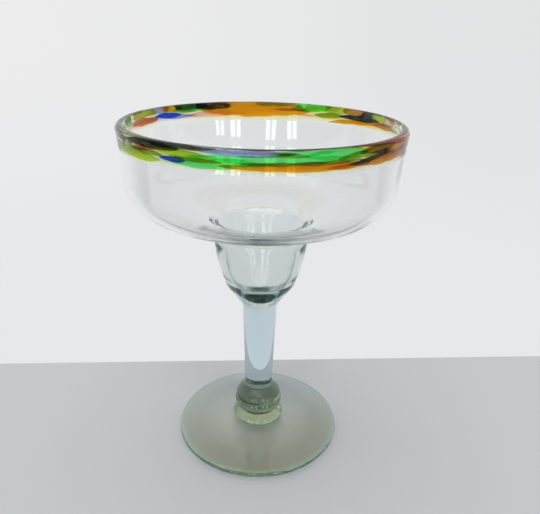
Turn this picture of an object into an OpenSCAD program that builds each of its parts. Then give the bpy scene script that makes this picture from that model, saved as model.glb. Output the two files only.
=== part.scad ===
// Margarita glass, hand made: a wide shallow bowl over a thick-walled well, a solid stem with a knop
// and a collar, and a broad foot. The lip is a wrap of clear glass rolled in chips of coloured glass.
// Millimetres, +Z up. The origin is the centre of the circle that the foot stands on.

/* [Foot] */
// Diameter of the foot
foot_d = 94; // [80:1:110]
// Thickness of the foot at its rounded edge
foot_edge_t = 3.6; // [2.4:0.1:4.6]
// Height of the flat on the middle of the foot, where the collar sits
foot_hub_h = 6; // [5:0.1:8]
// Width of the flat ring that the foot stands on
foot_rest_w = 3; // [2:0.1:6]
// Rise of the hollow under the foot at its centre
foot_hollow_h = 1.6; // [0.6:0.1:2.2]

/* [Collar] */
// Height of the collar
collar_h = 7.4; // [5:0.1:10]
// Diameter of the collar where it is fused to the foot
collar_foot_d = 24; // [20:0.5:26]
// Diameter of the collar at its widest
collar_d = 29; // [27:0.5:34]

/* [Knop] */
// Height of the knop
knop_h = 15.2; // [12:0.2:20]
// Diameter of the groove between the collar and the knop
groove_d = 22.4; // [18:0.2:25]
// Diameter of the knop at its widest
knop_d = 27.2; // [26:0.2:32]

/* [Stem] */
// Length of the stem between the knop and the well
stem_len = 51.4; // [30:1:80]
// Diameter of the stem where it enters the knop
stem_low_d = 15.6; // [12:0.2:17]
// Diameter of the stem where it meets the well
stem_top_d = 18.8; // [15:0.2:20]

/* [Well] */
// Height of the well, from the top of the stem to the floor of the bowl
well_h = 46.9; // [38:0.1:56]
// Outer diameter of the well at the floor of the bowl
well_d = 57; // [53:0.5:62]
// Diameter of the hollow in the well at the floor of the bowl
mouth_d = 44.6; // [40:0.2:47]
// Diameter of the round dish at the bottom of the hollow
dish_d = 28; // [22:0.5:31]
// Depth of the dish
dish_h = 9.4; // [7:0.2:11]
// Thickness of the solid glass under the dish
well_bottom_t = 8.1; // [6:0.1:11]

/* [Bowl] */
// Height of the bowl, from the top of the well to the lip
bowl_h = 44.6; // [40:0.2:60]
// How far the wall of the bowl leans out, from the turn up to the lip
wall_lean_w = 1.1; // [0:0.1:3]
// Outer radius of the turn between the wall and the floor
bowl_turn_r = 20; // [16:0.5:24]
// Thickness of the bowl
bowl_t = 2.8; // [2:0.1:3.6]
// Slope of the underside of the bowl's floor, in degrees
floor_slope = 22.8; // [15:0.2:26]
// Width of the rounding between the floor of the bowl and the hollow of the well
mouth_round_w = 5; // [2:0.2:7]

/* [Lip] */
// Height of the lip
lip_h = 10.5; // [9:0.5:16]
// Outer diameter of the whole glass, over the bead of the lip
rim_d = 140; // [120:1:170]
// How far the lip leans out, from the bowl up to its bead
lip_lean_w = 0.8; // [0:0.1:2]
// Thickness of the bead along the top of the lip
bead_t = 4.8; // [4.2:0.1:6]
// Depth that the coloured chips are sunk into the lip
chip_t = 1.2; // [0.6:0.1:1.6]

/* [Hidden] */
$fn = 180;

// Fineness of the large circles that the edges of the chips lie on
chip_edge_fn = 400;

// How far a cutter runs past the surface that it cuts
overrun = 1;

// Levels of the joints between the pieces
collar_z = foot_hub_h;
knop_z = collar_z + collar_h;
stem_z = knop_z + knop_h;
well_z = stem_z + stem_len;
bowl_z = well_z + well_h;
lip_z = bowl_z + bowl_h;

// Radii that more than one piece uses
foot_r = foot_d / 2;
neck_r = well_d / 2;
mouth_r = mouth_d / 2;
rim_r = rim_d / 2;
bead_r = bead_t / 2;
lip_low_r = rim_r - lip_lean_w;
bowl_r = lip_low_r - wall_lean_w;

// Outline of the foot's top, as shares of the way in from the edge to the collar and of the rise there
foot_top_shares = [[0, 0], [0.3, 0.06], [0.55, 0.2], [0.75, 0.42], [0.9, 0.76], [1, 1]];
// Swell of the collar and of the knop, as shares of their height and of the way out to their widest
collar_swell_shares = [[0, 0], [0.18, 0.6], [0.4, 1], [0.62, 0.8], [0.83, 0.4], [1, 0]];
knop_swell_shares = [[0, 0], [0.1, 0.5], [0.22, 0.9], [0.34, 1], [0.44, 0.88], [0.5, 0.82], [0.6, 0.84],
    [0.7, 0.78], [0.82, 0.54], [0.92, 0.22], [1, 0]];
// Outline of the well, as shares of its height and of the way out from the stem to the neck
well_outer_shares = [[0, 0], [0.09, 0.08], [0.19, 0.26], [0.32, 0.48], [0.47, 0.61], [0.64, 0.72],
    [0.81, 0.79], [0.9, 0.83], [0.96, 0.89], [1, 1]];
// Outline of the hollow over its dish, as shares of the height and of the way out from the dish to the mouth
well_wall_shares = [[0, 0], [0.05, 0.09], [0.15, 0.25], [0.29, 0.4], [0.48, 0.56], [0.66, 0.7],
    [0.83, 0.85], [1, 1]];
// How sharply the dish turns up: 2 makes a parabola, and less makes it more like a cone
dish_curve_share = 1.6;

// Slope of the inside of the bowl's floor, as a share of the slope underneath: it thickens towards the well
floor_in_slope_share = 0.92;
// Lean of the rounding between the floor of the bowl and the hollow, as a share of its width
mouth_lean_share = 0.06;

// Chips of coloured glass: the direction of the middle in degrees (0 faces the front and 90 the right), the
// angle that the chip spans, the slant in degrees, and the height and the width as shares of lip_h
amber_chip_shares = [[11, 42, -1, 0.34, 0.3], [74, 18, 2, 0.57, 0.38], [184, 46, 0, 0.61, 0.57],
    [281, 16, -2, 0.5, 0.28]];
emerald_chip_shares = [[-4, 32, 0, 0.62, 0.24], [22, 24, 1, 0.76, 0.33], [155, 17, -2, 0.75, 0.27],
    [219, 13, 2, 0.68, 0.17]];
leaf_chip_shares = [[-58, 26, -3, 0.34, 0.32], [-27, 15, -1, 0.67, 0.18], [113, 10, -2, 0.72, 0.15],
    [143, 10, -3, 0.84, 0.18], [264, 14, 2, 0.74, 0.18]];
olive_chip_shares = [[-40, 18, -1, 0.5, 0.24], [-21, 15, -1, 0.46, 0.17], [145, 12, -2, 0.5, 0.2],
    [228.5, 10, 2, 0.86, 0.14]];
rust_chip_shares = [[49, 25, 0, 0.82, 0.29], [53, 26, 2, 0.36, 0.28], [108, 13, -2, 0.47, 0.22],
    [130, 16, -2, 0.86, 0.2], [250.5, 17, 1, 0.53, 0.24]];
cobalt_chip_shares = [[-29.5, 8, 0, 0.31, 0.18], [232, 16, 1, 0.51, 0.22]];
lilac_chip_shares = [[-5, 27, 0, 0.86, 0.18], [35, 6, 2, 0.27, 0.11], [239, 11, 1, 0.81, 0.16]];
rose_chip_shares = [[100, 15, -1, 0.77, 0.28], [158, 6, 0, 0.38, 0.09], [206, 23, 0, 0.33, 0.16]];
plum_chip_shares = [[-41, 33, 0, 0.86, 0.26], [38, 13, 1, 0.5, 0.16], [126.5, 24, -2, 0.57, 0.24],
    [207, 13, 0, 0.85, 0.18], [284, 13, 1, 0.85, 0.16]];

chip_table_shares = concat(amber_chip_shares, emerald_chip_shares, leaf_chip_shares, olive_chip_shares,
    rust_chip_shares, cobalt_chip_shares, lilac_chip_shares, rose_chip_shares, plum_chip_shares);

// Angle round the bead, from level and outwards, at which the chips end
chip_over_deg = 105;
// Where the cutter of a chip starts, as a share of the way out from the axis
chip_start_share = 0.8;

// Points along an arc, in degrees
function arc(centre, r, from, to, steps) = [
    for (i = [0 : steps])
        centre + r * [cos(from + (to - from) * i / steps), sin(from + (to - from) * i / steps)]
];

// A smooth curve through hand-chosen points, with some steps in each stretch
function curve(p, steps) = [
    for (i = [0 : len(p) - 2], s = [0 : steps - 1])
        between(p[max(i - 1, 0)], p[i], p[i + 1], p[min(i + 2, len(p) - 1)], s / steps),
    p[len(p) - 1]
];
function between(a, b, c, d, t) = 0.5 * (2 * b + (c - a) * t + (2 * a - 5 * b + 4 * c - d) * t * t
    + (3 * b - 3 * c + d - a) * t * t * t);

// A soft bend from one point to another that leans towards a third
function bend(from, corner, to, steps) = [
    for (i = [0 : steps])
        let (t = i / steps)
            from * (1 - t) * (1 - t) + corner * 2 * t * (1 - t) + to * t * t
];

function backwards(p) = [for (i = [len(p) - 1 : -1 : 0]) p[i]];

// Outline of a bead of glass between two radii, swelling to its widest radius where the share is 1
function bead_outline(low_r, top_r, wide_r, z, h, swell_shares) = [
    for (s = curve(swell_shares, 3))
        let (line_r = low_r + (top_r - low_r) * s[0])
            [line_r + (wide_r - line_r) * s[1], z + h * s[0]]
];

module turned(outline) {
    rotate_extrude() polygon(outline);
}

// Foot
foot_edge_r = foot_edge_t / 2;
foot_rest_r = foot_r - foot_edge_r;
foot_hollow_r = foot_rest_r - foot_rest_w;
collar_foot_r = collar_foot_d / 2;
foot_hollow_steps = 6;

function foot_hollow() = [
    for (i = [0 : foot_hollow_steps])
        let (share = i / foot_hollow_steps)
            [foot_hollow_r * share, foot_hollow_h * (1 - share * share)]
];

function foot_top() = [
    for (s = curve(foot_top_shares, 3))
        [foot_rest_r + (collar_foot_r - foot_rest_r) * s[0], foot_edge_t + (foot_hub_h - foot_edge_t) * s[1]]
];

module foot() {
    color("#a3aaa2")
        turned(concat(
            foot_hollow(),
            arc([foot_rest_r, foot_edge_r], foot_edge_r, -90, 90, 10),
            [for (i = [1 : len(foot_top()) - 1]) foot_top()[i]],
            [[0, foot_hub_h]]));
}

// Collar
module collar() {
    color("#c2ccb4")
        turned(concat(
            [[0, collar_z]],
            bead_outline(collar_foot_r, groove_d / 2, collar_d / 2, collar_z, collar_h, collar_swell_shares),
            [[0, knop_z]]));
}

// Knop
module knop() {
    color("#9aa7a0")
        turned(concat(
            [[0, knop_z]],
            bead_outline(groove_d / 2, stem_low_d / 2, knop_d / 2, knop_z, knop_h, knop_swell_shares),
            [[0, stem_z]]));
}

// Stem
module stem() {
    color("#d4dde2")
        translate([0, 0, stem_z])
            cylinder(h = stem_len, r1 = stem_low_d / 2, r2 = stem_top_d / 2);
}

// Well
dish_low_z = well_z + well_bottom_t;
dish_top_z = dish_low_z + dish_h;
dish_r = dish_d / 2;
dish_steps = 8;

function well_outer() = [
    for (s = curve(well_outer_shares, 3))
        [stem_top_d / 2 + (neck_r - stem_top_d / 2) * s[1], well_z + well_h * s[0]]
];

function well_dish() = [
    for (i = [0 : dish_steps - 1])
        let (share = i / dish_steps)
            [dish_r * share, dish_low_z + dish_h * pow(share, dish_curve_share)]
];

function well_wall() = [
    for (s = curve(well_wall_shares, 3))
        [dish_r + (mouth_r - dish_r) * s[1], dish_top_z + (bowl_z - dish_top_z) * s[0]]
];

module well() {
    color("#d0d6d8")
        turned(concat([[0, well_z]], well_outer(), backwards(concat(well_dish(), well_wall()))));
}

// Bowl
// The floor is a cone from the neck that runs into the turn, and the turn runs into the wall
turn_centre = [
    bowl_r - bowl_turn_r,
    bowl_z + (bowl_r - bowl_turn_r - neck_r) * tan(floor_slope) + bowl_turn_r / cos(floor_slope)
];
turn_in_r = bowl_turn_r - bowl_t;
lip_in_r = lip_low_r - bowl_t;

// The inside of the floor is a cone too, from the turn down to the rounding at the mouth of the well
floor_in_slope = floor_slope * floor_in_slope_share;
floor_in_end = turn_centre + turn_in_r * [sin(floor_in_slope), -cos(floor_in_slope)];
mouth_lean_r = mouth_r + mouth_round_w * mouth_lean_share;

function floor_in(r) = [r, floor_in_end[1] - (floor_in_end[0] - r) * tan(floor_in_slope)];

module bowl() {
    color("#dfe3e4")
        turned(concat(
            [[neck_r, bowl_z]],
            arc(turn_centre, bowl_turn_r, floor_slope - 90, 0, 14),
            [[lip_low_r, lip_z], [lip_in_r, lip_z]],
            arc(turn_centre, turn_in_r, 0, floor_in_slope - 90, 14),
            bend(floor_in(mouth_r + mouth_round_w), floor_in(mouth_lean_r), [mouth_r, bowl_z], 8)));
}

// Lip
bead_centre = [rim_r - bead_r, lip_z + lip_h - bead_r];

// Outside of the lip, a given depth in from its surface, up to an angle round the bead
function lip_outside(depth, end_deg) = concat(
    [[lip_low_r - depth, lip_z]],
    arc(bead_centre, bead_r - depth, 0, end_deg, 8));

module lip_body() {
    turned(concat(
        [[lip_in_r, lip_z]],
        lip_outside(0, 90),
        arc(bead_centre, bead_r, 90 + 90 / 8, 180, 7)));
}

// The layer of the lip that chips lie in, from their backs out to a given height over the surface
module chip_layer(proud) {
    turned(concat(
        lip_outside(-proud, chip_over_deg),
        backwards(lip_outside(chip_t, chip_over_deg))));
}

// A tapered chip outline, where two round edges cross, cut straight in towards the axis
module chip_cutter(chip_shares) {
    half_len = rim_r * sin(chip_shares[1] / 2);
    half_w = chip_shares[4] * lip_h / 2;
    edge_r = (half_len * half_len + half_w * half_w) / (2 * half_w);
    start_x = rim_r * chip_start_share;
    rotate([0, 0, chip_shares[0] - 90])
        translate([start_x, 0, lip_z + chip_shares[3] * lip_h])
            rotate([chip_shares[2], 0, 0])
                rotate([0, 90, 0])
                    intersection() {
                        chip_edge(edge_r, edge_r - half_w, rim_r - start_x + overrun);
                        chip_edge(edge_r, half_w - edge_r, rim_r - start_x + overrun);
                    }
}

module chip_edge(r, x, h) {
    translate([x, 0, 0]) cylinder(r = r, h = h, $fn = chip_edge_fn);
}

module lip() {
    color("#d5dbdc")
        difference() {
            lip_body();
            intersection() {
                chip_layer(overrun);
                union() for (chip = chip_table_shares) chip_cutter(chip);
            }
        }
}

module chips(table_shares) {
    for (chip = table_shares)
        intersection() {
            chip_layer(0);
            chip_cutter(chip);
        }
}

module amber_chips() {
    color("#c4770e") chips(amber_chip_shares);
}

module emerald_chips() {
    color("#2f9d55") chips(emerald_chip_shares);
}

module leaf_chips() {
    color("#84a83c") chips(leaf_chip_shares);
}

module olive_chips() {
    color("#5d6a17") chips(olive_chip_shares);
}

module rust_chips() {
    color("#9c5426") chips(rust_chip_shares);
}

module cobalt_chips() {
    color("#2a46b8") chips(cobalt_chip_shares);
}

module lilac_chips() {
    color("#8d95c2") chips(lilac_chip_shares);
}

module rose_chips() {
    color("#c9a3b2") chips(rose_chip_shares);
}

module plum_chips() {
    color("#2c2a2e") chips(plum_chip_shares);
}

foot();
collar();
knop();
stem();
well();
bowl();
lip();
amber_chips();
emerald_chips();
leaf_chips();
olive_chips();
rust_chips();
cobalt_chips();
lilac_chips();
rose_chips();
plum_chips();
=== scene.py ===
import math

import bpy
from mathutils import Matrix, Vector


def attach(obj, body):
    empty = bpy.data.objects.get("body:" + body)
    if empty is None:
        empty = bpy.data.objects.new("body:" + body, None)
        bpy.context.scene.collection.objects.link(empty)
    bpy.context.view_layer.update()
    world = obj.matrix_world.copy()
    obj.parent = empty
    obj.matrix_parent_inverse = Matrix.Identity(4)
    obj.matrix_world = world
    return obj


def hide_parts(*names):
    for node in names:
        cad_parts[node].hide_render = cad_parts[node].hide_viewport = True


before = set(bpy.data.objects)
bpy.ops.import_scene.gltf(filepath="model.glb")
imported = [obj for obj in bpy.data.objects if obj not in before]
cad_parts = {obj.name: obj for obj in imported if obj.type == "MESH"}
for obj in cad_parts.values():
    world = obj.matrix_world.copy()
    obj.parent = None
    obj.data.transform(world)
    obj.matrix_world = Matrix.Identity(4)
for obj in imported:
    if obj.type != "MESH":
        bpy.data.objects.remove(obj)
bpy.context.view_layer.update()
scene = bpy.context.scene
mm = 0.001

# Camera, fitted to the outlines of the lip and the foot
shot = {"back": 270.27, "high": 224.96, "lens": 36.395, "sensor": 36, "clip": 0.01,
        "pitch": 23.102, "yaw": 1.062, "roll": 1.413}


def makeCamera():
    pitch = math.radians(shot["pitch"])
    yaw = math.radians(shot["yaw"])
    roll = math.radians(shot["roll"])
    flat = math.cos(pitch)
    ahead = Vector((math.sin(yaw) * flat, math.cos(yaw) * flat, -math.sin(pitch)))
    level = ahead.cross(Vector((0, 0, 1))).normalized()
    upright = level.cross(ahead)
    right = level * math.cos(roll) + upright * math.sin(roll)
    up = upright * math.cos(roll) - level * math.sin(roll)
    data = bpy.data.cameras.new("camera")
    data.sensor_width = shot["sensor"]
    data.lens = shot["lens"]
    data.clip_start = shot["clip"]
    camera = bpy.data.objects.new("camera", data)
    scene.collection.objects.link(camera)
    turn = Matrix((right, up, -ahead)).transposed().to_4x4()
    camera.matrix_world = Matrix.Translation((0, -shot["back"] * mm, shot["high"] * mm)) @ turn
    scene.camera = camera


makeCamera()
print("camera set")


# Profile helpers, in millimetres: lists of (radius, height)
curveSteps = 8


def arc(centre, radius, start, end, steps):
    points = []
    for i in range(steps + 1):
        turn = math.radians(start + (end - start) * i / steps)
        points.append((centre[0] + radius * math.cos(turn), centre[1] + radius * math.sin(turn)))
    return points


# The Catmull-Rom curve from b to c
def between(a, b, c, d, t):
    square = t * t
    cube = square * t
    return 0.5 * (2 * b + (c - a) * t + (2 * a - 5 * b + 4 * c - d) * square
                  + (3 * b - 3 * c + d - a) * cube)


def curve(points):
    last = len(points) - 1
    made = []
    for i in range(last):
        near = [points[max(i - 1, 0)], points[i], points[i + 1], points[min(i + 2, last)]]
        for s in range(curveSteps):
            made.append(tuple(between(*[p[axis] for p in near], s / curveSteps) for axis in (0, 1)))
    made.append(tuple(points[last]))
    return made


def segment(start, end, steps):
    made = []
    for i in range(1, steps):
        made.append(tuple(start[k] * (1 - i / steps) + end[k] * i / steps for k in (0, 1)))
    return made


def bend(start, corner, end, steps):
    made = []
    for i in range(steps + 1):
        t = i / steps
        made.append(tuple(start[k] * (1 - t) ** 2 + corner[k] * 2 * t * (1 - t) + end[k] * t * t
                          for k in (0, 1)))
    return made


def swollen(low, top, wide, floor, height, shares):
    made = []
    for t, swell in curve(shares):
        line = low + (top - low) * t
        made.append((line + (wide - line) * swell, floor + height * t))
    return made


# A turned piece. Its profile is a list of stretches, each a skin or a joint, from the bottom of the axis or
# round a ring. Joints are the faces that are fused to the next gather of glass, and they don't show.
aroundSteps = 288
jointLap = 0.01
samePoint = 1e-4
sharpEdge = 35


def turned(name, stretches, ring=False):
    points = []
    kinds = []
    for kind, stretch in stretches:
        for point in stretch:
            if points and math.dist(points[-1], point) < samePoint:
                continue
            if points:
                kinds.append(kind)
            points.append(point)
    if ring:
        kinds.append(stretches[-1][0])
        if math.dist(points[-1], points[0]) < samePoint:
            points.pop()
            kinds.pop()
    verts = []
    rows = []
    for radius, height in points:
        if radius < samePoint:
            rows.append([len(verts)])
            verts.append((0, 0, height * mm))
            continue
        rows.append(range(len(verts), len(verts) + aroundSteps))
        for k in range(aroundSteps):
            turn = 2 * math.pi * k / aroundSteps
            verts.append((radius * mm * math.cos(turn), radius * mm * math.sin(turn), height * mm))
    pairs = list(zip(range(len(rows) - 1), range(1, len(rows))))
    if ring:
        pairs.append((len(rows) - 1, 0))
    faces = []
    joints = []
    for kind, (low, high) in zip(kinds, pairs):
        a = rows[low]
        b = rows[high]
        for k in range(aroundSteps):
            after = (k + 1) % aroundSteps
            if len(a) == 1:
                faces.append((a[0], b[after], b[k]))
            elif len(b) == 1:
                faces.append((a[k], a[after], b[0]))
            else:
                faces.append((a[k], a[after], b[after], b[k]))
            joints.append(1.0 if kind == "joint" else 0.0)
    mesh = bpy.data.meshes.new(name)
    mesh.from_pydata(verts, [], faces)
    mesh.attributes.new("joint", "FLOAT", "FACE").data.foreach_set("value", joints)
    mesh.polygons.foreach_set("use_smooth", [True] * len(faces))
    mesh.update()
    mesh.set_sharp_from_angle(angle=math.radians(sharpEdge))
    piece = bpy.data.objects.new(name, mesh)
    scene.collection.objects.link(piece)
    return piece


# Node helpers
def addNode(tree, kind, **settings):
    node = tree.nodes.new(kind)
    for key, value in settings.items():
        setattr(node, key, value)
    return node


def feed(tree, socket, value):
    if hasattr(value, "is_output"):
        tree.links.new(value, socket)
    else:
        socket.default_value = value


def mathOf(tree, operation, *values, clamp=False):
    node = addNode(tree, "ShaderNodeMath", operation=operation, use_clamp=clamp)
    for socket, value in zip(node.inputs, values):
        feed(tree, socket, value)
    return node.outputs[0]


def newGroup(name, kind, inputs, outputs):
    tree = bpy.data.node_groups.new(name, kind)
    for direction, sockets in (("INPUT", inputs), ("OUTPUT", outputs)):
        for label, sort in sockets:
            tree.interface.new_socket(label, in_out=direction, socket_type="NodeSocket" + sort)
    return tree, tree.nodes.new("NodeGroupInput").outputs, tree.nodes.new("NodeGroupOutput").inputs


def useGroup(tree, group, **values):
    node = tree.nodes.new("ShaderNodeGroup")
    node.node_tree = group
    for key, value in values.items():
        feed(tree, node.inputs[key], value)
    return node.outputs


# Shared look of hand-worked glass: soft waves left by the tools, and a tint that drifts a little
glassLook = {"ior": 1.5, "softDetail": 1.0, "fineScale": 420.0, "fineDetail": 2.0}


def makeWorkedGlass():
    tree, given, result = newGroup(
        "workedGlass", "ShaderNodeTree",
        [("Tint", "Color"), ("Drift", "Color"), ("Wave", "Float"), ("Depth", "Float"), ("Ripple", "Float")],
        [("Color", "Color"), ("Normal", "Vector")])
    place = addNode(tree, "ShaderNodeTexCoord").outputs["Object"]
    soft = addNode(tree, "ShaderNodeTexNoise")
    soft.inputs["Detail"].default_value = glassLook["softDetail"]
    feed(tree, soft.inputs["Vector"], place)
    feed(tree, soft.inputs["Scale"], given["Wave"])
    fine = addNode(tree, "ShaderNodeTexNoise")
    fine.inputs["Scale"].default_value = glassLook["fineScale"]
    fine.inputs["Detail"].default_value = glassLook["fineDetail"]
    feed(tree, fine.inputs["Vector"], place)
    waves = addNode(tree, "ShaderNodeBump")
    feed(tree, waves.inputs["Distance"], given["Depth"])
    feed(tree, waves.inputs["Height"], soft.outputs[0])
    ripples = addNode(tree, "ShaderNodeBump")
    feed(tree, ripples.inputs["Distance"], given["Ripple"])
    feed(tree, ripples.inputs["Height"], fine.outputs[0])
    feed(tree, ripples.inputs["Normal"], waves.outputs["Normal"])
    feed(tree, result["Normal"], ripples.outputs["Normal"])
    mix = addNode(tree, "ShaderNodeMix", data_type="RGBA")
    feed(tree, mix.inputs["Factor"], soft.outputs[0])
    feed(tree, mix.inputs[6], given["Tint"])
    feed(tree, mix.inputs[7], given["Drift"])
    feed(tree, result["Color"], mix.outputs[2])
    return tree


workedGlass = makeWorkedGlass()


def clearGlass(name, look):
    material = bpy.data.materials.new(name)
    material.use_nodes = True
    tree = material.node_tree
    shader = tree.nodes["Principled BSDF"]
    shader.inputs["Transmission Weight"].default_value = 1.0
    shader.inputs["Roughness"].default_value = 0.0
    shader.inputs["IOR"].default_value = glassLook["ior"]
    shader.inputs["Specular Tint"].default_value = look.get("mirror", (1, 1, 1, 1))
    worked = useGroup(tree, workedGlass, Tint=look["tint"], Drift=look["drift"], Wave=look["wave"],
                      Depth=look["depth"] * mm, Ripple=look["ripple"] * mm)
    feed(tree, shader.inputs["Base Color"], worked["Color"])
    # The wash paints shade and light on the foot, and the chips' stain on the lip
    if look.get("washed"):
        wash = addNode(tree, "ShaderNodeAttribute", attribute_name="wash")
        stain = addNode(tree, "ShaderNodeMix", data_type="RGBA", blend_type="MULTIPLY")
        stain.inputs["Factor"].default_value = 1.0
        feed(tree, stain.inputs[6], worked["Color"])
        feed(tree, stain.inputs[7], wash.outputs["Color"])
        feed(tree, shader.inputs["Base Color"], stain.outputs[2])
    feed(tree, shader.inputs["Normal"], worked["Normal"])
    joint = addNode(tree, "ShaderNodeAttribute", attribute_name="joint").outputs["Fac"]
    feed(tree, shader.inputs["Alpha"], mathOf(tree, "SUBTRACT", 1.0, joint, clamp=True))
    body = addNode(tree, "ShaderNodeVolumeAbsorption")
    body.inputs["Color"].default_value = look["body"]
    body.inputs["Density"].default_value = look["dense"]
    feed(tree, tree.nodes["Material Output"].inputs["Volume"], body.outputs[0])
    return material


def settle(piece, material, nodes):
    piece.data.materials.clear()
    piece.data.materials.append(material)
    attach(piece, "root")
    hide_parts(*nodes)
    return piece


# Levels of the joints, from the table up
levels = {"collar": 6.0, "knop": 13.4, "stem": 28.6, "well": 80.0, "bowl": 126.9, "lip": 171.5}
bodyGreen = (0.56, 0.72, 0.57, 1)

# Foot
foot = {"radius": 47.0, "edge": 1.8, "hub": 12.0, "rest": 3.0, "hollow": 1.6, "steps": 24,
        "top": [(0, 0), (0.3, 0.06), (0.55, 0.2), (0.75, 0.42), (0.9, 0.76), (1, 1)],
        "tint": (1, 1, 1, 1), "drift": (0.93, 0.945, 0.92, 1), "wave": 45.0, "depth": 0.25,
        "ripple": 0.012, "body": (0.55, 0.68, 0.58, 1), "dense": 26.0, "washed": True,
        # front, middle and back are painted shade and light: darker to the front, paler to the back
        "front": (0.57, 0.57, 0.44), "middle": (0.73, 0.735, 0.68), "back": (0.9, 0.94, 0.95),
        # glow is painted light: the disc made paler round the collar
        "glow": (14.0, 34.0, 0.34), "brim": (0.74, 0.9, 0.8), "brimFrom": 44.6}


def makeFoot():
    restRadius = foot["radius"] - foot["edge"]
    hollowRadius = restRadius - foot["rest"]
    under = []
    for i in range(foot["steps"] + 1):
        share = i / foot["steps"]
        under.append((hollowRadius * share, foot["hollow"] * (1 - share * share)))
    rise = levels["collar"] - 2 * foot["edge"]
    top = []
    for t, up in curve(foot["top"]):
        top.append((restRadius + (foot["hub"] - restRadius) * t, 2 * foot["edge"] + rise * up))
    edge = arc((restRadius, foot["edge"]), foot["edge"], -90, 90, foot["steps"])
    high = levels["collar"] + jointLap
    piece = turned("footDisc", [("skin", under + edge + top), ("joint", [(foot["hub"], high), (0, high)])])
    # Painted shade and light on the disc: darker and olive at the front, pale at the back, as the light
    # falls, painted light paler round the collar, and green where the light runs out at its edge
    near, far, light = foot["glow"]
    wash = []
    for vertex in piece.data.vertices:
        x, y, z = [axis / mm for axis in vertex.co]
        place = y / foot["radius"]
        end = foot["back"] if place > 0 else foot["front"]
        out = math.hypot(x, y)
        glow = 1 + light * min(max((far - out) / (far - near), 0), 1)
        brim = min(max((out - foot["brimFrom"]) / foot["edge"], 0), 1)
        for middle, other, green in zip(foot["middle"], end, foot["brim"]):
            # painted shade from front to back, lightened by the painted glow near the collar
            shade = min((middle + (other - middle) * abs(place)) * glow, 1)
            wash.append(shade + (green - shade) * brim)
        wash.append(1.0)
    piece.data.attributes.new("wash", "FLOAT_COLOR", "POINT").data.foreach_set("color", wash)
    return piece


# Collar
collar = {"low": 12.0, "top": 11.2, "wide": 14.5,
          "swell": [(0, 0), (0.18, 0.6), (0.4, 1), (0.62, 0.8), (0.83, 0.4), (1, 0)],
          "tint": (0.95, 0.96, 0.9, 1), "drift": (0.74, 0.78, 0.6, 1), "wave": 190.0, "depth": 1.1,
          "ripple": 0.09, "body": (0.62, 0.67, 0.5, 1), "dense": 96.0}

# Knop
knop = {"low": 11.2, "top": 7.8, "wide": 13.6,
        "swell": [(0, 0), (0.1, 0.5), (0.22, 0.9), (0.34, 1), (0.44, 0.88), (0.5, 0.82), (0.6, 0.84),
                  (0.7, 0.78), (0.82, 0.54), (0.92, 0.22), (1, 0)],
        "tint": (0.92, 0.95, 0.93, 1), "drift": (0.86, 0.9, 0.88, 1), "wave": 90.0, "depth": 0.5,
        "ripple": 0.015, "body": (0.5, 0.6, 0.55, 1), "dense": 66.0}


def solidRod(name, skin):
    below = (0, skin[0][1])
    above = (0, skin[-1][1])
    return turned(name, [("joint", [below, skin[0]]), ("skin", skin), ("joint", [skin[-1], above])])


def makeBead(name, spec, floor, ceiling):
    skin = swollen(spec["low"], spec["top"], spec["wide"], floor, ceiling - floor, spec["swell"])
    low = floor - jointLap
    high = ceiling + jointLap
    skin[0] = (skin[0][0], low)
    skin[-1] = (skin[-1][0], high)
    return solidRod(name, skin)


# Stem
stem = {"low": 7.8, "top": 9.4, "steps": 40,
        "tint": (0.98, 0.985, 0.985, 1), "drift": (0.96, 0.975, 0.975, 1), "wave": 50.0, "depth": 0.12,
        "ripple": 0.01, "body": (0.43, 0.65, 0.72, 1), "dense": 42.0}


def makeStem():
    low = levels["stem"] - jointLap
    high = levels["well"] + jointLap
    skin = []
    for i in range(stem["steps"] + 1):
        t = i / stem["steps"]
        skin.append((stem["low"] + (stem["top"] - stem["low"]) * t, low + (high - low) * t))
    return solidRod("stemRod", skin)


# Well
well = {"low": 9.4, "neck": 28.5, "mouth": 22.3, "bottom": 8.1, "dish": 14.0, "deep": 9.4, "turnUp": 1.6,
        "steps": 24,
        "outside": [(0, 0), (0.09, 0.08), (0.19, 0.26), (0.32, 0.48), (0.47, 0.61), (0.64, 0.72),
                    (0.81, 0.79), (0.9, 0.83), (0.96, 0.89), (1, 1)],
        "wall": [(0, 0), (0.05, 0.09), (0.15, 0.25), (0.29, 0.4), (0.48, 0.56), (0.66, 0.7), (0.83, 0.85),
                 (1, 1)],
        "tint": (0.98, 0.985, 0.98, 1), "drift": (0.955, 0.97, 0.962, 1), "wave": 55.0, "depth": 0.25,
        "ripple": 0.012, "body": (0.47, 0.62, 0.6, 1), "dense": 42.0}


def makeWell():
    floor = levels["well"]
    height = levels["bowl"] - floor
    low = floor - jointLap
    high = levels["bowl"] + jointLap
    outside = []
    for t, share in curve(well["outside"]):
        outside.append((well["low"] + (well["neck"] - well["low"]) * share, floor + height * t))
    dishLow = floor + well["bottom"]
    dishTop = dishLow + well["deep"]
    hollow = []
    for i in range(well["steps"]):
        share = i / well["steps"]
        hollow.append((well["dish"] * share, dishLow + well["deep"] * share ** well["turnUp"]))
    widen = well["mouth"] - well["dish"]
    for t, share in curve(well["wall"]):
        hollow.append((well["dish"] + widen * share, dishTop + (high - dishTop) * t))
    outside[0] = (outside[0][0], low)
    outside[-1] = (outside[-1][0], high)
    hollow.reverse()
    return turned("wellCup", [("joint", [(0, low), outside[0]]), ("skin", outside),
                              ("joint", [outside[-1], hollow[0]]), ("skin", hollow)])


# Bowl
bowl = {"wall": 68.1, "top": 69.2, "turn": 20.0, "thick": 2.8, "slope": 22.8, "inSlope": 21.0, "round": 5.0,
        "lean": 0.3, "turnSteps": 40, "roundSteps": 24, "flatSteps": 8,
        "tint": (0.978, 0.984, 0.978, 1), "drift": (0.955, 0.965, 0.96, 1), "wave": 28.0, "depth": 0.35,
        "ripple": 0.012, "body": bodyGreen, "dense": 9.0}


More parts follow.
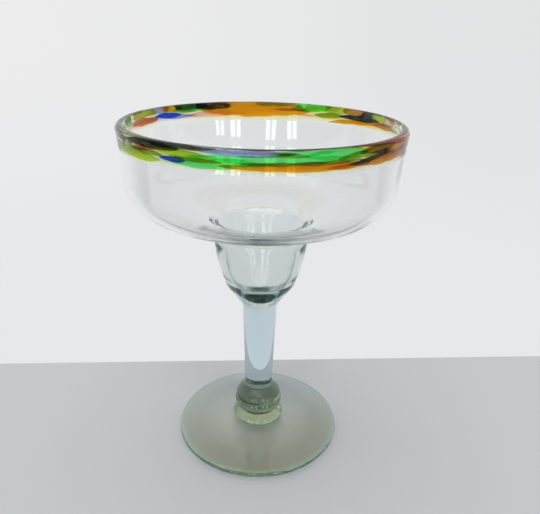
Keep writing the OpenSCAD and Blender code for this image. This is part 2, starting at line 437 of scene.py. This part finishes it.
def makeBowl():
    slope = math.radians(bowl["slope"])
    neck = well["neck"]
    mouth = well["mouth"]
    turn = bowl["turn"]
    thick = bowl["thick"]
    floor = levels["bowl"]
    out = bowl["wall"] - turn
    centre = (out, floor + (out - neck) * math.tan(slope) + turn / math.cos(slope))
    low = floor - jointLap
    high = levels["lip"] + jointLap
    outer = [(neck, low)]
    corner = arc(centre, turn, bowl["slope"] - 90, 0, bowl["turnSteps"])
    outer += segment((neck, floor), corner[0], bowl["flatSteps"]) + corner + [(bowl["top"], high)]
    inTop = bowl["top"] - thick
    inner = [(inTop, high)] + arc(centre, turn - thick, 0, bowl["inSlope"] - 90, bowl["turnSteps"])
    end = inner[-1]
    width = bowl["round"]
    inRadius = mouth + width
    inRise = math.tan(math.radians(bowl["inSlope"]))
    inHigh = end[1] - (end[0] - inRadius) * inRise
    inner += segment(end, (inRadius, inHigh), bowl["flatSteps"])
    lean = bowl["lean"]
    corner = (mouth + lean, inHigh - (width - lean) * inRise)
    inner += bend((inRadius, inHigh), corner, (mouth, floor), bowl["roundSteps"])
    inner[-1] = (mouth, low)
    return turned("bowlCup", [("skin", outer), ("joint", [outer[-1], inner[0]]), ("skin", inner),
                              ("joint", [inner[-1]])], ring=True)


# Lip: the clear wrap that the chips are sunk into
lip = {"low": 69.2, "thick": 2.8, "rim": 70.0, "bead": 2.4, "height": 10.5,
       "tint": (0.98, 0.985, 0.985, 1), "drift": (0.95, 0.965, 0.965, 1), "wave": 60.0, "depth": 0.2,
       "ripple": 0.012, "body": bodyGreen, "dense": 9.0, "washed": True, "mirror": (0.3, 0.3, 0.3, 1),
       "outSteps": 32, "crownSteps": 60, "inSteps": 8, "stain": 1.0, "fadeAlong": 1.2, "fadeUp": 1.3,
       "stainReach": 3.0, "stainFrom": -0.9, "stainFull": -0.1}
beadCentre = (lip["rim"] - lip["bead"], levels["lip"] + lip["height"] - lip["bead"])


def stainAt(direction, height, outward):
    # The chips stain the outside of the clear glass that they are melted into, and it fades away from them
    share = min(max((outward - lip["stainFrom"]) / (lip["stainFull"] - lip["stainFrom"]), 0), 1)
    if share == 0:
        return [1.0, 1.0, 1.0]
    logs = [0.0, 0.0, 0.0]
    total = 0.0
    for chip, rows in chipRows.items():
        for middle, span, level, width, slant, layer in rows:
            aside = ((direction - middle + 180) % 360 - 180) * 2 / span
            above = (height - level) * 2 / width
            if max(abs(aside), abs(above)) > lip["stainReach"]:
                continue
            weight = math.exp(-lip["fadeAlong"] * aside * aside - lip["fadeUp"] * above * above)
            total += weight
            for axis in range(3):
                logs[axis] += weight * math.log(chipColours[chip][0][axis])
    return [math.exp(lip["stain"] * share * part / max(total, 1)) for part in logs]


def makeLip():
    low = levels["lip"] - jointLap
    outside = [(lip["low"], low)]
    outside += segment((lip["low"], low), (lip["rim"], beadCentre[1]), lip["outSteps"])
    crown = arc(beadCentre, lip["bead"], 0, 180, lip["crownSteps"])
    inLow = (lip["low"] - lip["thick"], low)
    inside = segment(crown[-1], inLow, lip["inSteps"]) + [inLow]
    piece = turned("lipWrap", [("skin", outside + crown + inside), ("joint", [outside[0]])], ring=True)
    wash = []
    for vertex in piece.data.vertices:
        x, y, z = [axis / mm for axis in vertex.co]
        outward = (math.hypot(x, y) - beadCentre[0]) / lip["bead"]
        wash += stainAt(math.degrees(math.atan2(x, -y)), z, outward) + [1.0]
    piece.data.attributes.new("wash", "FLOAT_COLOR", "POINT").data.foreach_set("color", wash)
    return piece


# Chips of coloured glass, melted into the lip in thin layers, a little under its outer skin.
# Each row: direction in degrees (0 faces the front, 90 the right), span in degrees, height above the table,
# width along the lip, slant, and layer.
chipRows = {
    "amber": [(11, 52, 175.3, 3.8, 0, 0), (28, 14, 174.6, 1.9, 1, 1), (50, 34, 180.0, 4.2, 0, 1),
              (52, 44, 181.8, 2.4, 0, 0), (72, 24, 178.8, 3.2, 2, 0), (184, 58, 177.6, 9.0, 0, 0),
              (229, 13, 179.8, 2.4, 0, 1), (126, 40, 175.5, 3.0, -3, 1)],
    "emerald": [(4, 60, 178.1, 3.7, 0, 1), (25, 24, 180.0, 4.7, 1, 0), (-8, 18, 176.9, 3.2, -2, 0),
                (154, 23, 179.6, 4.2, -2, 1), (113, 18, 181.7, 1.8, 0, 0), (119, 10, 180.3, 1.9, 2, 1),
                (-20, 24, 175.0, 2.8, 0, 1), (219, 19, 179.2, 3.8, 2, 1), (160, 56, 181.9, 1.7, 0, 2),
                (220, 66, 181.9, 1.6, 0, 2), (268, 15, 178.2, 2.6, 2, 1), (13, 22, 180.8, 2.3, 0, 0)],
    "leaf": [(-53, 36, 175.0, 4.5, -1, 0), (-29, 26, 178.9, 3.5, -1, 1), (113, 13, 179.0, 2.1, -2, 0),
             (140, 17, 179.8, 3.2, -3, 0), (-22, 20, 176.9, 2.2, -1, 0), (104, 14, 178.0, 1.8, -2, 2),
             (152, 16, 179.4, 3.0, -2, 2)],
    "olive": [(-43, 19, 177.0, 2.4, -1, 1), (43, 21, 180.0, 2.9, 1, 2), (-21, 18, 176.7, 1.6, -1, 2),
              (9.5, 11, 179.9, 1.8, 0, 2), (145, 18, 176.7, 3.4, -2, 1), (31, 13, 178.5, 3.0, 3, 2),
              (14, 46, 176.7, 1.9, 0, 2), (222, 15, 178.2, 1.9, 2, 2), (170, 28, 180.4, 2.0, -1, 1),
              (252, 25, 179.5, 2.8, 1, 1), (268, 15, 178.2, 2.6, 2, 2), (96, 14, 177.0, 2.2, -2, 1),
              (42, 14, 178.4, 2.2, 2, 0)],
    "rust": [(53, 44, 175.9, 4.8, 1, 0), (62, 14, 178.0, 2.0, 2, 2), (108, 18, 176.7, 3.4, -2, 1),
             (128, 20, 180.4, 3.0, -2, 0), (250, 24, 176.4, 5.2, 1, 0), (166, 17, 178.0, 1.7, 0, 2),
             (-60, 11, 179.2, 2.2, 0, 2), (98, 18, 181.5, 1.7, 0, 1)],
    "cobalt": [(-30.5, 11, 175.9, 2.4, 0, 2), (232, 18, 177.0, 3.3, 1, 2), (32, 7, 175.6, 1.1, 3, 2)],
    "lilac": [(-5, 34, 180.6, 2.5, 0, 1), (35, 8, 175.0, 1.5, 3, 1), (238, 16, 180.2, 2.8, 1, 0),
              (119, 9, 180.2, 1.8, 2, 2), (224, 18, 175.4, 2.2, 0, 0), (-63, 18, 179.5, 3.0, 0, 1),
              (263, 9, 180.0, 1.7, 1, 0), (126, 24, 177.6, 3.0, -1, 2)],
    "rose": [(100, 19, 179.2, 3.4, -1, 0), (158, 10, 175.5, 1.5, 0, 2), (205, 34, 175.5, 3.6, 0, 2),
             (144, 11, 180.4, 2.6, 0, 2), (2, 17, 180.7, 1.5, 0, 2), (262, 15, 175.8, 2.6, 0, 1),
             (240, 26, 180.3, 2.8, 1, 2), (250, 22, 176.2, 4.6, 1, 1), (249, 19, 176.0, 3.8, 1, 2)],
    "plum": [(-41, 28, 180.2, 3.2, 0, 1), (-32, 36, 181.4, 2.4, 0, 2), (41, 17, 176.9, 2.4, 3, 2),
             (126, 28, 177.7, 3.5, -1, 1), (206, 19, 179.3, 3.6, 0, 0), (8, 52, 181.9, 0.9, 0, 2),
             (217, 23, 179.4, 2.1, 1, 2), (-68, 18, 181.1, 2.2, 0, 0)],
}
chipWrapSpec = {"lengthSteps": 49, "widthSteps": 17, "depth": 0.4, "skin": 0.06, "pitch": 0.08,
                "start": 0.02, "wander": 0.6, "taper": 0.75, "uneven": 0.7, "bends": 4.0, "apart": 31.0,
                "seedStep": 7.3, "seam": 0.002, "rowSeed": 3, "nameSeed": 11}


def wrapAt(height):
    # Length along the outside of the lip, from its bottom edge, at a height above the table
    run = beadCentre[1] - levels["lip"]
    line = math.hypot(run, lip["rim"] - lip["low"])
    rise = height - levels["lip"]
    if rise <= run:
        return line * rise / run
    share = min((height - beadCentre[1]) / lip["bead"], 1.0)
    return line + (lip["bead"] - chipWrapSpec["depth"]) * math.asin(share)


def makeChipTree():
    tree, given, result = newGroup(
        "chipWrap", "GeometryNodeTree",
        [("Geometry", "Geometry"), ("Length Steps", "Int"), ("Width Steps", "Int"), ("Low Radius", "Float"),
         ("Low Height", "Float"), ("Bead Across", "Float"), ("Bead Height", "Float"),
         ("Bead Radius", "Float"), ("Skin", "Float"), ("Pitch", "Float"), ("Start", "Float"),
         ("Wander", "Float"), ("Seam", "Float"), ("Material", "Material")],
        [("Geometry", "Geometry")])

    def m(operation, *values):
        return mathOf(tree, operation, *values)

    def read(name):
        node = addNode(tree, "GeometryNodeInputNamedAttribute", data_type="FLOAT")
        node.inputs["Name"].default_value = name
        return node.outputs["Attribute"]

    def store(geometry, name, value):
        node = addNode(tree, "GeometryNodeStoreNamedAttribute", data_type="FLOAT", domain="POINT")
        node.inputs["Name"].default_value = name
        feed(tree, node.inputs["Geometry"], geometry)
        feed(tree, node.inputs["Value"], value)
        return node.outputs["Geometry"]

    grid = addNode(tree, "GeometryNodeMeshGrid")
    feed(tree, grid.inputs["Size X"], 2.0)
    feed(tree, grid.inputs["Size Y"], 2.0)
    feed(tree, grid.inputs["Vertices X"], given["Length Steps"])
    feed(tree, grid.inputs["Vertices Y"], given["Width Steps"])
    where = addNode(tree, "ShaderNodeSeparateXYZ")
    feed(tree, where.inputs[0], addNode(tree, "GeometryNodeInputPosition").outputs[0])
    sheet = store(store(grid.outputs["Mesh"], "along", where.outputs["X"]), "across", where.outputs["Y"])
    flipped = addNode(tree, "GeometryNodeFlipFaces")
    feed(tree, flipped.inputs["Mesh"], sheet)
    both = addNode(tree, "GeometryNodeJoinGeometry")
    feed(tree, both.inputs[0], store(flipped.outputs[0], "outer", 0.0))
    feed(tree, both.inputs[0], store(sheet, "outer", 1.0))
    put = addNode(tree, "GeometryNodeInstanceOnPoints")
    feed(tree, put.inputs["Points"], given["Geometry"])
    feed(tree, put.inputs["Instance"], both.outputs[0])
    real = addNode(tree, "GeometryNodeRealizeInstances")
    feed(tree, real.inputs["Geometry"], put.outputs["Instances"])

    along = read("along")
    across = read("across")
    seed = read("seed")
    # A chip narrows to its ends, and its edges and middle line wander
    crest = m("SUBTRACT", 1.0, m("MULTIPLY", along, along))
    noises = []
    for shift in (0.0, chipWrapSpec["apart"]):
        noise = addNode(tree, "ShaderNodeTexNoise", noise_dimensions="2D")
        spot = addNode(tree, "ShaderNodeCombineXYZ")
        bends = m("MULTIPLY", read("span"), chipWrapSpec["bends"])
        feed(tree, spot.inputs[0], m("ADD", m("MULTIPLY", along, bends), shift))
        feed(tree, spot.inputs[1], m("MULTIPLY", seed, chipWrapSpec["seedStep"]))
        feed(tree, noise.inputs["Vector"], spot.outputs[0])
        noise.inputs["Scale"].default_value = 1.0
        noise.inputs["Detail"].default_value = 0.0
        noises.append(m("SUBTRACT", noise.outputs[0], 0.5))
    uneven = m("ADD", 1.0, m("MULTIPLY", noises[0], chipWrapSpec["uneven"]))
    swell = m("MULTIPLY", m("POWER", crest, chipWrapSpec["taper"]), uneven)
    middle = m("MULTIPLY", noises[1], given["Wander"])
    reached = m("MULTIPLY", read("span"), given["Bead Across"])
    slope = m("MULTIPLY", m("MULTIPLY", read("slant"), along), reached)
    step = m("MULTIPLY", m("MULTIPLY", read("width"), swell), m("MULTIPLY", across, 0.5))
    length = m("ADD", m("ADD", m("ADD", read("middle"), slope), middle), step)
    turn = m("ADD", read("direction"), m("MULTIPLY", m("MULTIPLY", read("span"), along), 0.5))
    dome = m("SQRT", m("MULTIPLY", m("SUBTRACT", 1.0, m("MULTIPLY", across, across)), crest))
    thick = m("MULTIPLY", m("MULTIPLY", dome, given["Skin"]), read("outer"))
    lift = m("ADD", m("ADD", given["Start"], m("MULTIPLY", read("layer"), given["Pitch"])), thick)

    # The outside of the lip: a straight line up to the bead, then the bead's arc
    lineAcross = m("SUBTRACT", m("ADD", given["Bead Across"], given["Bead Radius"]), given["Low Radius"])
    lineRise = m("SUBTRACT", given["Bead Height"], given["Low Height"])
    line = m("SQRT", m("ADD", m("MULTIPLY", lineAcross, lineAcross), m("MULTIPLY", lineRise, lineRise)))
    share = m("DIVIDE", m("MINIMUM", length, line), line)
    angle = m("DIVIDE", m("MAXIMUM", m("SUBTRACT", length, line), 0.0), given["Bead Radius"])
    reach = m("ADD", given["Bead Radius"], lift)
    straight = m("ADD", m("ADD", given["Low Radius"], m("MULTIPLY", lineAcross, share)), lift)
    straightUp = m("ADD", given["Low Height"], m("MULTIPLY", lineRise, share))
    roundOut = m("ADD", given["Bead Across"], m("MULTIPLY", reach, m("COSINE", angle)))
    roundUp = m("ADD", given["Bead Height"], m("MULTIPLY", reach, m("SINE", angle)))
    onBead = m("GREATER_THAN", length, line)
    onLine = m("SUBTRACT", 1.0, onBead)
    radius = m("ADD", m("MULTIPLY", straight, onLine), m("MULTIPLY", roundOut, onBead))
    height = m("ADD", m("MULTIPLY", straightUp, onLine), m("MULTIPLY", roundUp, onBead))
    spot = addNode(tree, "ShaderNodeCombineXYZ")
    feed(tree, spot.inputs[0], m("MULTIPLY", radius, m("SINE", turn)))
    feed(tree, spot.inputs[1], m("MULTIPLY", m("MULTIPLY", radius, m("COSINE", turn)), -1.0))
    feed(tree, spot.inputs[2], height)
    moved = addNode(tree, "GeometryNodeSetPosition")
    feed(tree, moved.inputs["Geometry"], real.outputs[0])
    feed(tree, moved.inputs["Position"], spot.outputs[0])
    merged = addNode(tree, "GeometryNodeMergeByDistance")
    feed(tree, merged.inputs["Geometry"], moved.outputs[0])
    feed(tree, merged.inputs["Distance"], given["Seam"])
    smooth = addNode(tree, "GeometryNodeSetShadeSmooth")
    feed(tree, smooth.inputs[0], merged.outputs[0])
    painted = addNode(tree, "GeometryNodeSetMaterial")
    feed(tree, painted.inputs["Geometry"], smooth.outputs[0])
    feed(tree, painted.inputs["Material"], given["Material"])
    feed(tree, result["Geometry"], painted.outputs[0])
    return tree


# Colours of the chips: what comes through one, and what comes through its streaks.
# At an IOR of 1 the roughness blurs nothing. It only lets the noise filter see the chips.
chipColours = {
    "amber": ((0.88, 0.47, 0.014, 1), (0.62, 0.3, 0.01, 1)),
    "emerald": ((0.3, 0.92, 0.42, 1), (0.18, 0.74, 0.28, 1)),
    "leaf": ((0.6, 0.78, 0.1, 1), (0.38, 0.55, 0.05, 1)),
    "olive": ((0.46, 0.6, 0.05, 1), (0.22, 0.28, 0.02, 1)),
    "rust": ((0.75, 0.39, 0.08, 1), (0.58, 0.27, 0.045, 1)),
    "cobalt": ((0.065, 0.15, 0.88, 1), (0.035, 0.075, 0.66, 1)),
    "lilac": ((0.45, 0.53, 0.8, 1), (0.36, 0.37, 0.64, 1)),
    "rose": ((0.92, 0.7, 0.74, 1), (0.8, 0.52, 0.6, 1)),
    "plum": ((0.17, 0.18, 0.13, 1), (0.08, 0.07, 0.07, 1)),
}
chipLook = {"rough": 0.35, "ior": 1.0, "along": 1.2, "across": 2.2, "scale": 2.0, "detail": 3.0,
            "gain": 2.0, "cut": 0.6, "lean": 0.45, "tip": 4.0, "fade": 0.3}


def makeChipStreaks():
    tree, given, result = newGroup(
        "chipStreaks", "ShaderNodeTree", [("Main", "Color"), ("Streak", "Color")], [("Color", "Color")])
    along = addNode(tree, "ShaderNodeAttribute", attribute_name="along").outputs["Fac"]
    across = addNode(tree, "ShaderNodeAttribute", attribute_name="across").outputs["Fac"]
    # Streaks are drawn out along the lip
    spot = addNode(tree, "ShaderNodeCombineXYZ")
    feed(tree, spot.inputs[0], mathOf(tree, "MULTIPLY", along, chipLook["along"]))
    feed(tree, spot.inputs[1], mathOf(tree, "MULTIPLY", across, chipLook["across"]))
    streaks = addNode(tree, "ShaderNodeTexNoise")
    feed(tree, streaks.inputs["Vector"], spot.outputs[0])
    streaks.inputs["Scale"].default_value = chipLook["scale"]
    streaks.inputs["Detail"].default_value = chipLook["detail"]
    bold = mathOf(tree, "MULTIPLY", streaks.outputs[0], chipLook["gain"])
    drawn = mathOf(tree, "SUBTRACT", bold, chipLook["cut"])
    lean = mathOf(tree, "MULTIPLY", across, chipLook["lean"])
    amount = mathOf(tree, "ADD", drawn, lean, clamp=True)
    mix = addNode(tree, "ShaderNodeMix", data_type="RGBA")
    feed(tree, mix.inputs["Factor"], amount)
    feed(tree, mix.inputs[6], given["Main"])
    feed(tree, mix.inputs[7], given["Streak"])
    # A chip thins out to nothing at its edge and its tips, so its colour does too
    thin = mathOf(tree, "SUBTRACT", 1.0, mathOf(tree, "MULTIPLY", across, across))
    tip = mathOf(tree, "SUBTRACT", 1.0, mathOf(tree, "MULTIPLY", along, along))
    blunt = mathOf(tree, "MINIMUM", mathOf(tree, "MULTIPLY", tip, chipLook["tip"]), 1.0)
    fade = addNode(tree, "ShaderNodeMapRange", interpolation_type="SMOOTHSTEP")
    feed(tree, fade.inputs["Value"], mathOf(tree, "MULTIPLY", thin, blunt))
    fade.inputs["From Max"].default_value = chipLook["fade"]
    soft = addNode(tree, "ShaderNodeMix", data_type="RGBA")
    feed(tree, soft.inputs["Factor"], fade.outputs[0])
    soft.inputs[6].default_value = (1, 1, 1, 1)
    feed(tree, soft.inputs[7], mix.outputs[2])
    feed(tree, result["Color"], soft.outputs[2])
    return tree


chipStreaks = makeChipStreaks()


def chipGlass(name, main, streak):
    material = bpy.data.materials.new(name)
    material.use_nodes = True
    tree = material.node_tree
    shader = tree.nodes["Principled BSDF"]
    shader.inputs["Transmission Weight"].default_value = 1.0
    # A chip is fused into the clear glass of the lip, so its faces don't bend the light
    shader.inputs["Roughness"].default_value = chipLook["rough"]
    shader.inputs["IOR"].default_value = chipLook["ior"]
    look = useGroup(tree, chipStreaks, Main=main, Streak=streak)
    feed(tree, shader.inputs["Base Color"], look["Color"])
    return material


def makeChips(name, tree):
    rows = chipRows[name]
    spec = chipWrapSpec
    firstSeed = len(name) * spec["nameSeed"]
    mesh = bpy.data.meshes.new(name + "Points")
    mesh.from_pydata([(0, 0, 0)] * len(rows), [], [])
    fields = {"direction": [math.radians(r[0]) for r in rows], "span": [math.radians(r[1]) for r in rows],
              "middle": [wrapAt(r[2]) * mm for r in rows], "width": [r[3] * mm for r in rows],
              "slant": [math.tan(math.radians(r[4])) for r in rows], "layer": [float(r[5]) for r in rows],
              "seed": [float(i * spec["rowSeed"] + firstSeed) for i in range(len(rows))]}
    for key, values in fields.items():
        mesh.attributes.new(key, "FLOAT", "POINT").data.foreach_set("value", values)
    points = bpy.data.objects.new(name + "Points", mesh)
    scene.collection.objects.link(points)
    main, streak = chipColours[name]
    values = {"Length Steps": spec["lengthSteps"], "Width Steps": spec["widthSteps"],
              "Low Radius": (lip["low"] - spec["depth"]) * mm, "Low Height": levels["lip"] * mm,
              "Bead Across": beadCentre[0] * mm, "Bead Height": beadCentre[1] * mm,
              "Bead Radius": (lip["bead"] - spec["depth"]) * mm, "Skin": spec["skin"] * mm,
              "Pitch": spec["pitch"] * mm, "Start": spec["start"] * mm, "Wander": spec["wander"] * mm,
              "Seam": spec["seam"] * mm, "Material": chipGlass(name + "Glass", main, streak)}
    piece = bakeTree(points, tree, name + "Chips", values)
    bpy.data.objects.remove(points)
    return piece


def bakeTree(holder, tree, name, values):
    modifier = holder.modifiers.new("build", "NODES")
    modifier.node_group = tree
    for item in tree.interface.items_tree:
        if item.item_type == "SOCKET" and item.in_out == "INPUT" and item.name in values:
            modifier[item.identifier] = values[item.name]
    graph = bpy.context.evaluated_depsgraph_get()
    graph.update()
    mesh = bpy.data.meshes.new_from_object(holder.evaluated_get(graph), depsgraph=graph)
    mesh.name = name
    holder.modifiers.remove(modifier)
    piece = bpy.data.objects.new(name, mesh)
    scene.collection.objects.link(piece)
    return piece


footDisc = settle(makeFoot(), clearGlass("footGlass", foot), ["foot"])
footDisc.visible_shadow = False  # the lamps light the floor through the thin disc
settle(makeBead("collarBead", collar, levels["collar"], levels["knop"]), clearGlass("collarGlass", collar),
       ["collar"])
settle(makeBead("knopBead", knop, levels["knop"], levels["stem"]), clearGlass("knopGlass", knop),
       ["knop"])
settle(makeStem(), clearGlass("stemGlass", stem), ["stem"])
settle(makeWell(), clearGlass("wellGlass", well), ["well"])
settle(makeBowl(), clearGlass("bowlGlass", bowl), ["bowl"])
settle(makeLip(), clearGlass("lipGlass", lip), ["lip"])
print("clear glass made")

chipTree = makeChipTree()
for chipName in chipRows:
    chipPiece = makeChips(chipName, chipTree)
    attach(chipPiece, "root")
    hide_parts(chipName + "_chips")
print("chips made")


# Stage: a pale floor that ends just behind the glass, as in the photograph, and a bright wall beyond it
stage = {"half": 3.0, "edge": 0.0657, "skew": 0.0497, "drop": 0.05,
         "floor": (0.67, 0.665, 0.68, 1), "floorRough": 0.6, "floorGloss": 0.2, "tableFront": (-0.4, -0.6),
         "room": (0.07, 0.073, 0.077, 1), "above": (0.2, 0.213, 0.23, 1), "plain": (0.66, 0.665, 0.675, 1),
         "wallLeft": (0.845, 0.845, 0.85, 1), "wallRight": (0.765, 0.77, 0.775, 1),
         "wallFoot": (0.8, 0.805, 0.83, 1), "wallSides": (-0.45, 0.45), "wallRise": (-0.45, 0.0),
         "roomRise": (-0.2, 0.9), "wallStart": -0.1, "wallFull": 0.3, "mirrorStart": 0.25,
         "mirrorFull": 0.35}


def makeFloor():
    mesh = bpy.data.meshes.new("floor")
    half = stage["half"]
    left = stage["edge"] - half * stage["skew"]
    right = stage["edge"] + half * stage["skew"]
    corners = [(-half, -half, 0), (half, -half, 0), (half, right, 0), (-half, left, 0)]
    mesh.from_pydata(corners, [], [(0, 1, 2, 3)])
    floor = bpy.data.objects.new("floor", mesh)
    floor.location.z = -stage["drop"] * mm
    scene.collection.objects.link(floor)
    material = bpy.data.materials.new("floorPaper")
    material.use_nodes = True
    tree = material.node_tree
    shader = tree.nodes["Principled BSDF"]
    # Beyond the front of the table the room is dim: only reflections show it, so the floor stays pale
    where = addNode(tree, "ShaderNodeSeparateXYZ")
    feed(tree, where.inputs[0], addNode(tree, "ShaderNodeTexCoord").outputs["Object"])
    mirrored = mathOf(tree, "MINIMUM", addNode(tree, "ShaderNodeLightPath").outputs["Glossy Depth"], 1.0)
    beyond = addNode(tree, "ShaderNodeMapRange", interpolation_type="SMOOTHSTEP")
    feed(tree, beyond.inputs["Value"], where.outputs["Y"])
    beyond.inputs["From Min"].default_value, beyond.inputs["From Max"].default_value = stage["tableFront"]
    mix = addNode(tree, "ShaderNodeMix", data_type="RGBA")
    feed(tree, mix.inputs["Factor"], mathOf(tree, "MULTIPLY", mirrored, beyond.outputs[0]))
    mix.inputs[6].default_value = stage["floor"]
    mix.inputs[7].default_value = stage["room"]
    feed(tree, shader.inputs["Base Color"], mix.outputs[2])
    shader.inputs["Roughness"].default_value = stage["floorRough"]
    shader.inputs["Specular IOR Level"].default_value = stage["floorGloss"]
    mesh.materials.append(material)


def blendOf(tree, value, low, high, first, second):
    spread = addNode(tree, "ShaderNodeMapRange", interpolation_type="SMOOTHSTEP")
    feed(tree, spread.inputs["Value"], value)
    feed(tree, spread.inputs["From Min"], low)
    feed(tree, spread.inputs["From Max"], high)
    mix = addNode(tree, "ShaderNodeMix", data_type="RGBA")
    feed(tree, mix.inputs["Factor"], spread.outputs[0])
    feed(tree, mix.inputs[6], first)
    feed(tree, mix.inputs[7], second)
    return mix.outputs[2]


def makeWorld():
    world = bpy.data.worlds.new("studio")
    scene.world = world
    world.use_nodes = True
    tree = world.node_tree
    background = tree.nodes["Background"]
    way = addNode(tree, "ShaderNodeSeparateXYZ")
    feed(tree, way.inputs[0], addNode(tree, "ShaderNodeNewGeometry").outputs["Position"])
    # The wall is a little darker to the right and near the floor, and the room behind the camera is dim
    across = blendOf(tree, way.outputs["X"], *stage["wallSides"], stage["wallLeft"], stage["wallRight"])
    wall = blendOf(tree, way.outputs["Z"], *stage["wallRise"], stage["wallFoot"], across)
    dim = blendOf(tree, way.outputs["Z"], *stage["roomRise"], stage["room"], stage["above"])
    # Seen straight or through the glass the room is plain and pale; mirrored in it, and as light, it is dim
    path = addNode(tree, "ShaderNodeLightPath").outputs
    bounced = mathOf(tree, "ADD", path["Glossy Depth"], path["Diffuse Depth"], clamp=True)
    room = blendOf(tree, bounced, 0.0, 1.0, stage["plain"], dim)
    mirrored = mathOf(tree, "MINIMUM", path["Glossy Depth"], 1.0)
    # Mirrored, the wall begins further back
    startShift = mathOf(tree, "MULTIPLY", mirrored, stage["mirrorStart"])
    fullShift = mathOf(tree, "MULTIPLY", mirrored, stage["mirrorFull"])
    start = mathOf(tree, "ADD", stage["wallStart"], startShift)
    full = mathOf(tree, "ADD", stage["wallFull"], fullShift)
    feed(tree, background.inputs["Color"], blendOf(tree, way.outputs["Y"], start, full, room, wall))
    background.inputs["Strength"].default_value = 1.0


def makeLamp(name, place, target, width, height, power, colour):
    data = bpy.data.lights.new(name, "AREA")
    data.shape = "RECTANGLE"
    data.size = width
    data.size_y = height
    data.energy = power
    data.color = colour
    lamp = bpy.data.objects.new(name, data)
    lamp.location = place
    lamp.rotation_euler = (Vector(target) - Vector(place)).to_track_quat("-Z", "Y").to_euler()
    lamp.visible_camera = False
    scene.collection.objects.link(lamp)


makeFloor()
makeWorld()
# Four windows behind the camera, each of small panes with bars between them, and a wide lamp overhead
windows = {"places": [(-0.84, -1.55), (-0.2, -1.55), (0.72, -1.45), (1.3, -1.45)], "columns": 2, "rows": 5,
           "low": 0.0, "pane": (0.12, 0.24), "bar": 0.04, "power": 0.4, "colour": (0.85, 0.93, 1)}
topLamp = {"place": (-0.1, -0.2, 1.8), "side": 1.5, "power": 11, "colour": (1, 1, 1)}


def makeWindows():
    wide, tall = windows["pane"]
    for number, (x, y) in enumerate(windows["places"]):
        far = math.hypot(x, y)
        for column in range(windows["columns"]):
            shift = (column - (windows["columns"] - 1) / 2) * (wide + windows["bar"])
            for row in range(windows["rows"]):
                z = windows["low"] + tall / 2 + row * (tall + windows["bar"])
                place = (x - shift * y / far, y + shift * x / far, z)
                target = (place[0] - x, place[1] - y, z)
                makeLamp("pane" + str(number) + str(column) + str(row), place, target, wide, tall,
                         windows["power"], windows["colour"])


makeWindows()
makeLamp("ceiling", topLamp["place"], (0, 0, 0), topLamp["side"], topLamp["side"], topLamp["power"],
         topLamp["colour"])
scene.view_settings.view_transform = "Standard"
# Light runs far round inside the lip, and through many chips
glassBounces = 64
mirrorBounces = 32
scene.cycles.max_bounces = glassBounces
scene.cycles.transmission_bounces = glassBounces
scene.cycles.glossy_bounces = mirrorBounces
scene.cycles.transparent_max_bounces = mirrorBounces
print("stage and lights set")
